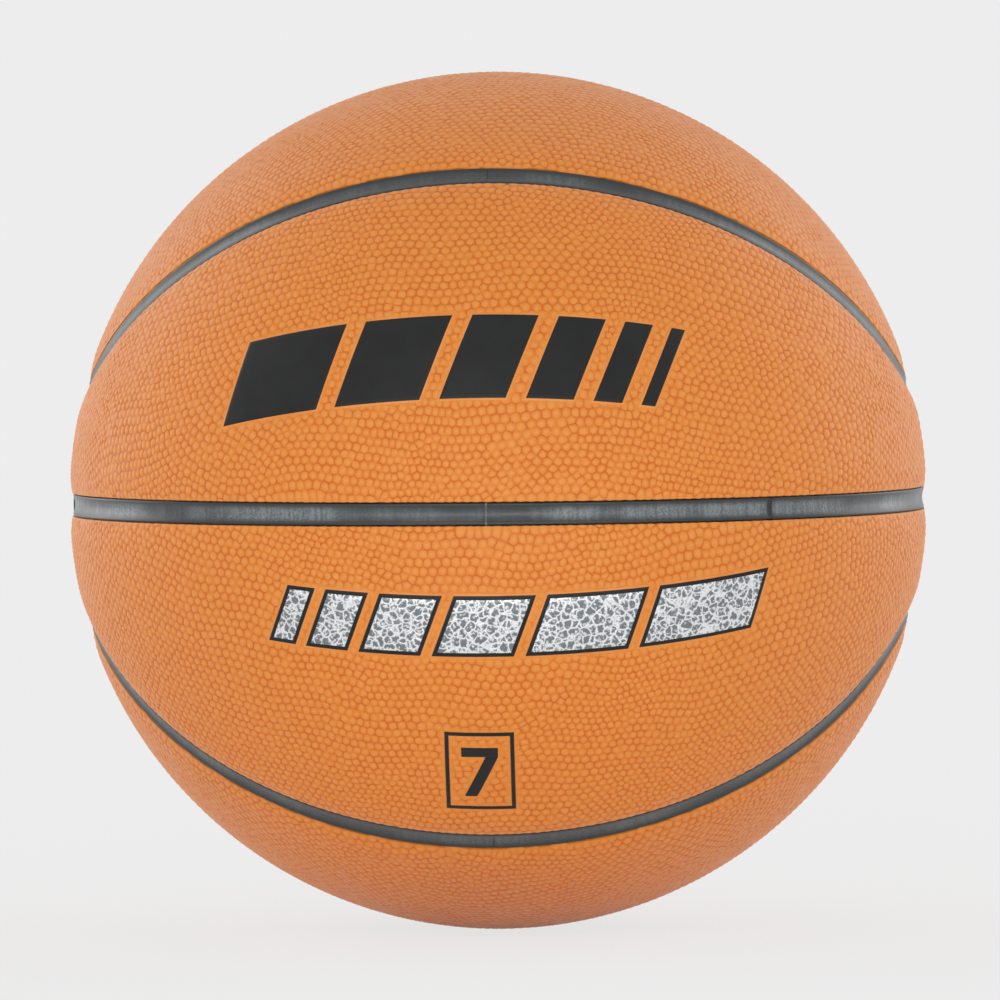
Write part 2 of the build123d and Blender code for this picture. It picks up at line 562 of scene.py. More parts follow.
@dataclass(frozen=True)
class SeamLayout:
    """Where the seams run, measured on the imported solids. Sizes in metres, rises in radians.

    The looped channel is wider than the solids' by loop_ease on each side, and evenly wide all round.
    Within the angle near_seam, distances to the looped seam are worked out twice.
    """

    radius: float
    inner: float
    half_channel: float
    half_strip: float
    strip_edge: float
    strip_inner: float
    side_rise: float
    front_rise: float
    valve_tube: float
    corner: float = 2.0 * MM
    bond_gap: float = 0.1 * MM
    near_seam: float = 0.15
    loop_ease: float = 0.2 * MM

    @classmethod
    def measured(cls, nodes: dict) -> "SeamLayout":
        """Measures the layout.

        Args:
            nodes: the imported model's objects, by node name.

        Returns:
            The layout.
        """
        panel = np.linalg.norm(vertex_places(nodes["upper_front_band_panel"]), axis=1)
        ring = np.linalg.norm(vertex_places(nodes["level_channel_strip"]), axis=1)
        loop = vertex_places(nodes["upper_loop_channel_strip"])
        rises = np.arcsin(unit(loop)[:, 2])
        half_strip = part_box("level_channel_strip")[1].z
        half_angle = math.asin(half_strip / panel.max())
        housing = vertex_places(nodes["valve_housing"])
        mouth_depth = 0.2 * MM
        mouth = housing[np.linalg.norm(housing, axis=1) > ring.max() - mouth_depth]
        return cls(
            radius=panel.max(),
            inner=panel.min(),
            half_channel=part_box("upper_front_band_panel")[0].z,
            half_strip=half_strip,
            strip_edge=ring.max(),
            strip_inner=ring.min(),
            side_rise=rises.min() + half_angle,
            front_rise=rises.max() - half_angle,
            valve_tube=np.hypot(mouth[:, 1], mouth[:, 2]).max(),
        )

    @property
    def half_channel_angle(self) -> float:
        """Half of a channel's width, as an angle at the ball's centre."""
        return math.asin(self.half_channel / self.radius)

    def middle_rise(self, kind: PanelKind) -> float:
        """How high the middle of a panel lies above the level seam, in radians."""
        if kind is PanelKind.BAND:
            return 0.5 * self.front_rise
        return 0.5 * (self.front_rise + 0.5 * math.pi)

    def loop_distance(self, ways: np.ndarray) -> np.ndarray:
        """How far points lie inside the middle line of the looped seam.

        Args:
            ways: unit directions as side, forward and up, one row each.

        Returns:
            Distances in metres, negative outside, true near the seam and rougher far from it.
        """
        side = math.tan(0.5 * math.pi - self.side_rise) ** 2
        front = math.tan(0.5 * math.pi - self.front_rise) ** 2

        def step(points: np.ndarray) -> tuple:
            """The angle to the seam by the slope at each point, and the way that leads inwards."""
            x, forward, up = points.T
            value = up * np.abs(up) - x**2 / side - forward**2 / front
            slope = np.stack([-2 * x / side, -2 * forward / front, 2 * np.abs(up)], axis=1)
            along = np.sqrt(np.maximum((slope**2).sum(axis=1) - 4 * value**2, 1e-9))
            return value / along, (slope - 2 * value[:, None] * points) / along[:, None]

        angle, inward = step(ways)
        near = np.abs(angle) < self.near_seam
        foot = unit(ways[near] - np.tan(angle[near])[:, None] * inward[near])
        angle[near] += step(foot)[0]
        return self.radius * angle

    def edge_distances(self, ways: np.ndarray, kind: PanelKind) -> np.ndarray:
        """How far points lie inside each edge of a panel.

        Args:
            ways: unit directions as side, forward and up, one row each.
            kind: the panel's outline.

        Returns:
            One column for each edge, in metres, negative outside.
        """
        upright = ways[:, 1] * self.radius - self.half_channel
        loop = self.loop_distance(ways)
        half_loop = self.half_channel + self.loop_ease
        if kind is PanelKind.CAP:
            return np.stack([upright, loop - half_loop], axis=1)
        level = ways[:, 2] * self.radius - self.half_channel
        return np.stack([upright, level, -loop - half_loop], axis=1)

    def inside(self, ways: np.ndarray, kind: PanelKind, corner: float) -> np.ndarray:
        """How far points lie inside a panel whose corners are rounded.

        Args:
            ways: unit directions as side, forward and up, one row each.
            kind: the panel's outline.
            corner: the corners' radius, which is also the most that is returned.

        Returns:
            Distances in metres, negative outside.
        """
        short = np.maximum(corner - self.edge_distances(ways, kind), 0.0)
        return corner - np.sqrt((short**2).sum(axis=1))


@dataclass(frozen=True)
class PrintMark:
    """One four-sided mark of a print, in metres across and up from the print's middle."""

    corners: tuple

    @classmethod
    def slanted(
        cls, middle: float, width: float, height: float, lean: float, base: float = 0.0
    ) -> "PrintMark":
        """A leaning bar.

        Args:
            middle: its middle, across.
            width: its width.
            height: its height.
            lean: how far its top stands to the right of its foot.
            base: its middle, upwards.

        Returns:
            The mark.
        """
        half, rise, tip = 0.5 * width, 0.5 * height, 0.5 * lean
        return cls((
            (middle - half - tip, base - rise),
            (middle + half - tip, base - rise),
            (middle + half + tip, base + rise),
            (middle - half + tip, base + rise),
        ))

    def sides(self) -> tuple:
        """The corners, and the direction that leads out of the side after each of them."""
        corners = np.array(self.corners)
        edges = unit(np.roll(corners, -1, axis=0) - corners)
        return corners, np.stack([edges[:, 1], -edges[:, 0]], axis=1)

    def moved(self, across: float) -> "PrintMark":
        """The mark, moved sideways."""
        return PrintMark(tuple((x + across, y) for x, y in self.corners))

    def outset(self, by: float) -> "PrintMark":
        """The mark grown by the same width on each side.

        Args:
            by: the added width in metres, less than 0 to shrink it.

        Returns:
            The grown mark.
        """
        corners, outward = self.sides()
        grown = []
        for number, corner in enumerate(corners):
            before, after = outward[number - 1], outward[number]
            shift = by * (before + after) / (1 + before @ after)
            grown.append(tuple(corner + shift))
        return PrintMark(tuple(grown))

    def distance(self, points: np.ndarray) -> np.ndarray:
        """How far points lie outside the mark, negative inside.

        Args:
            points: across and up, one row each.

        Returns:
            Distances in metres.
        """
        offsets = [(points - corner) @ way for corner, way in zip(*self.sides())]
        return np.max(offsets, axis=0)


@dataclass
class CoverPrint:
    """A stamped print on the front of the ball: marks laid along a level line."""

    name: str
    rise: float
    marks: list
    depth: float = 0.16 * MM
    thickness: float = 0.22 * MM
    step: float = 1.3 * MM
    bevel_share: float = 0.3
    bevel_angle: float = 50.0
    smooth_angle: float = 40.0

    def chart(self, places: np.ndarray) -> np.ndarray:
        """Lays places on the ball's front out flat round the print's middle.

        Args:
            places: points in the ball's frame.

        Returns:
            Across and up, one row each.
        """
        ways = unit(places)
        radius = np.linalg.norm(places, axis=1)
        side, out, up = self.axes()
        flat = np.stack([ways @ side, ways @ up], axis=1)
        angle = np.arctan2(np.linalg.norm(flat, axis=1), ways @ out)
        return flat * (radius * angle / np.maximum(np.linalg.norm(flat, axis=1), 1e-9))[:, None]

    def axes(self) -> tuple:
        """The print's own axes: sideways, outwards at its middle, and upwards there."""
        flat, high = math.cos(self.rise), math.sin(self.rise)
        return np.array([1.0, 0.0, 0.0]), np.array([0.0, -flat, high]), np.array([0.0, high, flat])

    def wrapped(self, points: np.ndarray, radius: float) -> np.ndarray:
        """Lays flat points back on the ball.

        Args:
            points: across and up, one row each.
            radius: the ball's radius there.

        Returns:
            Places in the ball's frame.
        """
        side, out, up = self.axes()
        reach = np.maximum(np.linalg.norm(points, axis=1), 1e-9)
        heading = (points[:, :1] * side + points[:, 1:] * up) / reach[:, None]
        angle = (reach / radius)[:, None]
        return radius * (np.cos(angle) * out + np.sin(angle) * heading)

    def film(self, mark: PrintMark, radius: float) -> bpy.types.Object:
        """One mark as a thin film that follows the ball.

        Args:
            mark: the mark.
            radius: the ball's radius at the film's face.

        Returns:
            The film.
        """
        corners = np.array(mark.corners)
        wide = np.linalg.norm(corners[1] - corners[0])
        high = np.linalg.norm(corners[3] - corners[0])
        bpy.ops.object.select_all(action="DESELECT")
        across = max(2, math.ceil(wide / self.step))
        upward = max(2, math.ceil(high / self.step))
        bpy.ops.mesh.primitive_grid_add(x_subdivisions=across, y_subdivisions=upward, size=1.0)
        film = bpy.context.active_object
        shares = vertex_places(film)[:, :2] + 0.5
        right, up = shares[:, :1], shares[:, 1:]
        foot = corners[0] * (1 - right) + corners[1] * right
        head = corners[3] * (1 - right) + corners[2] * right
        film.data.vertices.foreach_set("co", self.wrapped(foot * (1 - up) + head * up, radius).ravel())
        solid = film.modifiers.new("thickness", "SOLIDIFY")
        solid.thickness = self.thickness
        solid.offset = -1.0
        rounding = film.modifiers.new("rounding", "BEVEL")
        rounding.width = self.bevel_share * self.thickness
        rounding.segments = 2
        rounding.limit_method = "ANGLE"
        rounding.angle_limit = math.radians(self.bevel_angle)
        for name in ("thickness", "rounding"):
            bpy.ops.object.modifier_apply(modifier=name)
        return film

    def build(self, radius: float, finish: bpy.types.Material, slot: str) -> bpy.types.Object:
        """Builds the print as one piece.

        Args:
            radius: the cover's radius.
            finish: the print's material.
            slot: not used.

        Returns:
            The piece, riding on the ball.
        """
        films = [self.film(mark, radius - self.depth) for mark in self.marks]
        bpy.ops.object.select_all(action="DESELECT")
        for film in films:
            film.select_set(True)
        bpy.context.view_layer.objects.active = films[0]
        if len(films) > 1:
            bpy.ops.object.join()
        piece = films[0]
        piece.name = self.name
        piece.data.materials.clear()
        piece.data.materials.append(finish)
        smooth(piece, self.smooth_angle)
        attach(piece, "ball")
        return piece


@dataclass
class PebbleGrain:
    """The embossed pebbles: how they are packed and how they stand up. Sizes in metres.

    The field of pebbles reaches field_reach degrees sideways and upwards from the panel's middle. Margins
    and the bare rim are counted in pitches from the panel's edge.
    """

    pitch: float = 2.45 * MM
    row: float = 2.16 * MM
    jitter: float = 0.36 * MM
    lean: float = 0.26
    stretch: float = 0.13
    relax: int = 2
    ease: float = 0.4
    height: float = 0.40 * MM
    shoulder_reach: float = 0.66
    shoulder_level: float = 0.68
    shoulder_most: float = 0.84
    groove_fill: float = 0.5
    rim_fill: float = 0.72
    cut_fill: float = 0.50
    scallop: float = 0.16 * MM
    bare_rim: tuple = (-1.0, 0.12)
    inset: float = 0.21 * MM
    field_reach: tuple = (108.0, 36.0)
    waves: int = 14
    wave_lengths: tuple = (25 * MM, 100 * MM)
    seed_margin: float = 4.0
    relax_margin: float = 1.8
    cell_margin: float = 1.2

    def seeds(self, layout: SeamLayout, kind: PanelKind, rng: np.random.Generator) -> np.ndarray:
        """The pebbles' middles, close packed in rows that turn and stretch over the panel.

        Args:
            layout: where the seams run.
            kind: the panel's outline.
            rng: the panel's own random numbers.

        Returns:
            Unit directions as side, forward and up, one row each.
        """
        sideways_reach, upward_reach = self.field_reach
        tall = int(math.radians(upward_reach) * layout.radius / self.row)
        wide = int(math.radians(sideways_reach) * layout.radius / self.pitch)
        row, place = np.meshgrid(np.arange(-tall, tall + 1), np.arange(-wide, wide + 1), indexing="ij")
        turn = ((place + 0.5 * (row % 2)) * self.pitch / layout.radius).ravel()
        rise = (row * self.row / layout.radius).ravel()
        start = (turn, rise)
        for number in range(self.waves):
            heading, phase = rng.uniform(0, 2 * math.pi, 2)
            length = rng.uniform(*self.wave_lengths) / layout.radius
            sideways, upwards = math.cos(heading), math.sin(heading)
            wave = np.sin(2 * math.pi * (start[0] * sideways + start[1] * upwards) / length + phase)
            most = self.lean if number % 2 else self.stretch
            shift = rng.uniform(-most, most) * length / (2 * math.pi) * wave
            turn = turn + shift * (-upwards if number % 2 else sideways)
            rise = rise + shift * (sideways if number % 2 else upwards)
        turn = turn + rng.normal(0, self.jitter / layout.radius, len(turn))
        rise = rise + rng.normal(0, self.jitter / layout.radius, len(turn))
        side, out, up = self.axes(layout, kind)
        level = np.cos(turn)[:, None] * out + np.sin(turn)[:, None] * side
        ways = np.cos(rise)[:, None] * level + np.sin(rise)[:, None] * up
        inside = layout.inside(ways, kind, layout.corner) / self.pitch
        on_rim = (inside > self.bare_rim[0]) & (inside < self.bare_rim[1])
        return ways[(inside > -self.seed_margin) & ~on_rim]

    def axes(self, layout: SeamLayout, kind: PanelKind) -> tuple:
        """The panel's own axes: sideways, outwards at its middle, and upwards there."""
        rise = layout.middle_rise(kind)
        side = np.array([1.0, 0.0, 0.0])
        out = np.array([0.0, math.cos(rise), math.sin(rise)])
        return side, out, np.array([0.0, -math.sin(rise), math.cos(rise)])

    def flat(self, ways: np.ndarray, axes: tuple) -> np.ndarray:
        """Directions laid out flat, so that circles stay circles."""
        side, out, up = axes
        return np.stack([ways @ side, ways @ up], axis=1) / (1 + ways @ out)[:, None]

    def meshed(self, ways: np.ndarray, axes: tuple) -> tuple:
        """Joins neighbouring middles by triangles.

        Args:
            ways: the pebbles' middles.
            axes: the panel's own axes.

        Returns:
            The triangles, and the point that is equally far from each one's corners.
        """
        points = [Vector(point) for point in self.flat(ways, axes)]
        found = delaunay_2d_cdt(points, [], [], 0, 1e-9, False)
        triangles = np.array([face for face in found[2] if len(face) == 3])
        first, second, third = (ways[triangles[:, number]] for number in range(3))
        meeting = unit(np.cross(second - first, third - first))
        return triangles, meeting * np.sign((meeting * first).sum(axis=1))[:, None]

    def cells(self, layout: SeamLayout, kind: PanelKind, rng: np.random.Generator) -> tuple:
        """The pebbles' outlines, trimmed to the panel.

        Args:
            layout: where the seams run.
            kind: the panel's outline.
            rng: the panel's own random numbers.

        Returns:
            Directions of the outlines' corners, how far each is filled in, and each pebble's corner numbers.
        """
        axes = self.axes(layout, kind)
        ways = self.seeds(layout, kind, rng)
        for _ in range(self.relax):
            triangles, meeting = self.meshed(ways, axes)
            total = np.zeros_like(ways)
            np.add.at(total, triangles.ravel(), np.repeat(meeting, 3, axis=0))
            free = layout.inside(ways, kind, layout.corner) > -self.relax_margin * self.pitch
            ways[free] = unit((1 - self.ease) * ways[free] + self.ease * unit(total[free]))
        triangles, meeting = self.meshed(ways, axes)
        owner = triangles.ravel()
        corner = np.repeat(np.arange(len(triangles)), 3)
        spoke = self.flat(meeting[corner], axes) - self.flat(ways[owner], axes)
        order = np.lexsort((np.arctan2(spoke[:, 1], spoke[:, 0]), owner))
        starts = np.searchsorted(owner[order], np.arange(len(ways) + 1))
        near = np.flatnonzero(layout.inside(ways, kind, layout.corner) > -self.cell_margin * self.pitch)
        outlines = [corner[order[starts[number]:starts[number + 1]]] for number in near.tolist()]
        return self.trimmed(outlines, meeting, layout, kind)

    def trimmed(self, outlines: list, meeting: np.ndarray, layout: SeamLayout, kind: PanelKind) -> tuple:
        """Cuts the outlines off at the panel's edge, slightly scalloped.

        Args:
            outlines: corner numbers for each pebble.
            meeting: directions of the corners.
            layout: where the seams run.
            kind: the panel's outline.

        Returns:
            Directions of the kept corners, how far each is filled in, and each kept pebble's corner numbers.
        """

        def within(ways: np.ndarray) -> np.ndarray:
            """How far points lie inside the trimmed edge."""
            return layout.inside(ways, kind, layout.corner) - self.inset

        halvings, slides = 12, 6
        nudge, flat_change, usual_slope = 1e-5, 1e-9, -1.2e-6
        most_slide, most_shift = 0.01, 0.012
        value = within(meeting)
        kept: list = []
        crossings: dict = {}
        ends: list = []
        total = len(meeting)
        for outline in outlines:
            if not (value[outline] > 0).any():
                continue
            corners: list = []
            for here, there in zip(outline, np.roll(outline, -1)):
                if value[here] > 0:
                    corners.append(("corner", here))
                if (value[here] > 0) != (value[there] > 0):
                    pair = (min(here, there), max(here, there))
                    corners.append(("cut", crossings.setdefault(pair, len(crossings))))
                    if value[here] > 0:
                        corners.append(("chord", 0))
            for place, (part, _) in enumerate(corners):
                if part == "chord":
                    corners[place] = (part, len(ends))
                    ends.append((corners[place - 1][1], corners[(place + 1) % len(corners)][1]))
            kept.append(corners)
        pairs = np.array(list(crossings))
        inner = np.where((value[pairs[:, 0]] > 0)[:, None], meeting[pairs[:, 0]], meeting[pairs[:, 1]])
        outer = np.where((value[pairs[:, 0]] > 0)[:, None], meeting[pairs[:, 1]], meeting[pairs[:, 0]])
        for _ in range(halvings):
            middle = unit(inner + outer)
            is_in = (within(middle) > 0)[:, None]
            inner = np.where(is_in, middle, inner)
            outer = np.where(is_in, outer, middle)
        cuts = unit(inner + outer)
        base = {"corner": 0, "cut": total, "chord": total + len(cuts)}
        numbers = [[base[part] + number for part, number in corners] for corners in kept]
        ends = np.array(ends)
        first, second = cuts[ends[:, 0]], cuts[ends[:, 1]]
        middle = unit(first + second)
        across = unit(np.cross(second - first, middle) + 1e-12)
        shift = np.zeros(len(middle))
        for _ in range(slides):
            gap = within(unit(middle + shift[:, None] * across))
            ahead = within(unit(middle + (shift + nudge)[:, None] * across))
            slope = np.where(np.abs(ahead - gap) < flat_change, usual_slope, ahead - gap) / nudge
            slide = np.clip(gap / slope, -most_slide, most_slide)
            shift = np.clip(shift - slide, -most_shift, most_shift)
        wide = np.linalg.norm(second - first, axis=1) * layout.radius / self.pitch
        swell = self.scallop / layout.radius * np.clip(wide, 0.0, 1.0) * np.sign(slope)
        chord_points = unit(middle + (shift - swell)[:, None] * across)
        everything = np.concatenate([meeting, cuts, chord_points])
        filled = np.zeros(len(everything))
        filled[total:] = self.cut_fill
        filled[total + len(cuts):] = self.rim_fill
        used = np.unique(np.concatenate(numbers))
        renumber = np.full(len(everything), -1)
        renumber[used] = np.arange(len(used))
        return everything[used], filled[used], [renumber[np.array(corners)] for corners in numbers]


@dataclass
class CoverPanel:
    """One pebbled panel: rolled rim, domes, walls and a plain back."""

    layout: SeamLayout
    grain: PebbleGrain
    kind: PanelKind
    level: Level
    face: Face
    seed: int
    prints: list = field(default_factory=list)
    roll_depth: float = 0.78 * MM
    roll_length: float = 7.5 * MM
    roll_power: float = 2.3
    press_depth: float = 0.30 * MM
    press_margin: float = 0.9 * MM
    press_fade: float = 0.8
    pressed_dome: float = 0.12
    pressed_relief: float = 0.8
    pressed_share: float = 0.7
    usual_reach: float = 0.52
    height_limits: tuple = (0.35, 1.1)
    height_spread: tuple = (0.82, 1.12)
    usual_tint: float = 0.5
    tint_spread: float = 0.2
    smooth_angle: float = 68.0

    @property
    def node(self) -> str:
        """The CAD node that this panel stands for."""
        return f"{self.level.name.lower()}_{self.face.name.lower()}_{self.kind.value}_panel"

    def turned(self, ways: np.ndarray) -> np.ndarray:
        """Directions as side, forward and up, moved to the panel's own quarter of the ball."""
        return ways * np.array([1.0, self.face.value, self.level.value])

    def standing(self, ways: np.ndarray, relief: np.ndarray, height: np.ndarray) -> np.ndarray:
        """The face's places, from their direction and how far up a dome they lie.

        Args:
            ways: unit directions as side, forward and up.
            relief: 0 in a groove to 1 on a dome's top.
            height: the height of the dome at that point.

        Returns:
            Places in the ball's frame.
        """
        inside = np.clip(self.layout.inside(ways, self.kind, self.roll_length) / self.roll_length, 0, 1)
        rim = self.layout.radius - self.roll_depth * (1 - inside) ** self.roll_power
        radius = rim - height * (1 - relief)
        pressed = self.pressed(ways)
        flat = rim - self.press_depth - self.pressed_dome * height * (1 - relief)
        return self.turned(ways) * (radius + pressed * (flat - radius))[:, None]

    def pressed(self, ways: np.ndarray) -> np.ndarray:
        """How far the stamp of a print has flattened each point, from 0 to 1."""
        share = np.zeros(len(ways))
        for stamp in self.prints:
            points = stamp.chart(self.turned(ways) * self.layout.radius)
            for mark in stamp.marks:
                outside = mark.distance(points) - self.press_margin
                fade = 1 - outside / (self.press_fade * self.press_margin)
                share = np.maximum(share, np.clip(fade, 0, 1))
        return share

    def build(self, finish: bpy.types.Material) -> bpy.types.Object:
        """Builds and dresses the panel.

        Args:
            finish: the pebbled cover's material.

        Returns:
            The piece, riding on the ball in place of its CAD node.
        """
        rng = np.random.default_rng(self.seed)
        ways, filled, outlines = self.grain.cells(self.layout, self.kind, rng)
        filled = np.maximum(filled, self.grain.groove_fill * rng.uniform(0, 1, len(filled)) ** 2)
        if (self.face is Face.BACK) != (self.level is Level.LOWER):
            outlines = [outline[::-1] for outline in outlines]
        sizes = np.array([len(outline) for outline in outlines])
        rim = np.concatenate(outlines)
        owner = np.repeat(np.arange(len(outlines)), sizes)
        first = np.concatenate([[0], np.cumsum(sizes)[:-1]])
        after = np.arange(len(rim)) + 1
        after[first + sizes - 1] = first
        middle = np.zeros((len(outlines), 3))
        np.add.at(middle, owner, ways[rim])
        middle = unit(middle)
        around = np.tile(owner, 2)
        halfway_ways = unit(ways[rim] + ways[rim[after]])
        arms = np.concatenate([ways[rim], halfway_ways]) - middle[around]
        reach = np.linalg.norm(arms, axis=1)
        typical = np.bincount(around, reach) / (2 * sizes)
        share = self.grain.shoulder_reach * typical[around] / reach
        share = np.minimum(share, self.grain.shoulder_most)
        shoulder = unit(middle[around] + arms * share[:, None])
        usual = self.usual_reach * self.grain.pitch / self.layout.radius
        height = self.grain.height * np.clip(typical / usual, *self.height_limits)
        height = height * rng.uniform(*self.height_spread, len(outlines))
        tint = rng.normal(self.usual_tint, self.tint_spread, len(outlines)).clip(0, 1)

        count, edges = len(ways), len(rim)
        places = [
            self.standing(ways, filled, np.full(count, self.grain.height)),
            self.turned(ways) * self.layout.inner,
            self.standing(shoulder, np.full(2 * edges, self.grain.shoulder_level), height[around]),
            self.standing(middle, np.ones(len(outlines)), height),
        ]
        here = 2 * count + np.arange(edges)
        halfway, there, top = here + edges, 2 * count + after, 2 * count + 2 * edges + owner
        corners = [
            (rim, rim[after], halfway),
            (rim, halfway, here),
            (rim[after], there, halfway),
            (here, halfway, top),
            (halfway, there, top),
        ]
        domes = np.concatenate([np.stack(three, axis=1) for three in corners])
        forward = {(a, b) for a, b in zip(rim.tolist(), rim[after].tolist())}
        bare = [(a, b) for a, b in forward if (b, a) not in forward]
        walls = [(b, a, a + count, b + count) for a, b in sorted(bare)]
        back = [(outline[::-1] + count).tolist() for outline in outlines]
        faces = domes.tolist() + back + walls
        piece = mesh_piece(f"{self.node}_pebbled", np.concatenate(places), faces)

        mesh = piece.data
        levels = np.full(2 * edges, self.grain.shoulder_level)
        relief = np.concatenate([filled, filled, levels, np.ones(len(outlines))])
        every_way = np.concatenate([ways, ways, shoulder, middle])
        relief = relief + self.pressed(every_way) * (self.pressed_relief - relief) * self.pressed_share
        note(mesh, "relief", relief)
        note(mesh, "tint", np.concatenate([np.full(2 * count, self.usual_tint), tint[around], tint]))
        self.lay_out(mesh, every_way, count, len(walls))
        mesh.materials.append(finish)
        smooth(piece, self.smooth_angle)
        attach(piece, "ball")
        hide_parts(self.node)
        return piece

    def lay_out(self, mesh: bpy.types.Mesh, ways: np.ndarray, count: int, walls: int) -> None:
        """Lays the panel out flat for baking: face and walls in one sheet, the back in another.

        Args:
            mesh: the panel's mesh.
            ways: the direction of each vertex.
            count: how many corners the pebbles' outlines have.
            walls: how many wall faces end the list of faces.
        """
        sheet_scale, sheet_middle = np.array([0.335, 0.5]), np.array([0.5, 0.25])
        back_shift, foot_spread = np.array([0.0, 0.5]), 1.012
        side, out, up = self.grain.axes(self.layout, self.kind)
        spread = np.sqrt(2 / (1 + ways @ out))[:, None]
        sheet = np.stack([ways @ side, ways @ up], axis=1) * spread * sheet_scale
        numbers = np.empty(len(mesh.loops), dtype=np.int64)
        mesh.loops.foreach_get("vertex_index", numbers)
        places = sheet[numbers] + sheet_middle
        is_back = (numbers >= count) & (numbers < 2 * count)
        wall = np.zeros(len(numbers), dtype=bool)
        wall[len(numbers) - 4 * walls:] = True
        places[is_back & ~wall] += back_shift
        foot = is_back & wall
        places[foot] = sheet[numbers[foot]] * foot_spread + sheet_middle
        mesh.uv_layers.new(name="OFBake").data.foreach_set("uv", places.ravel())


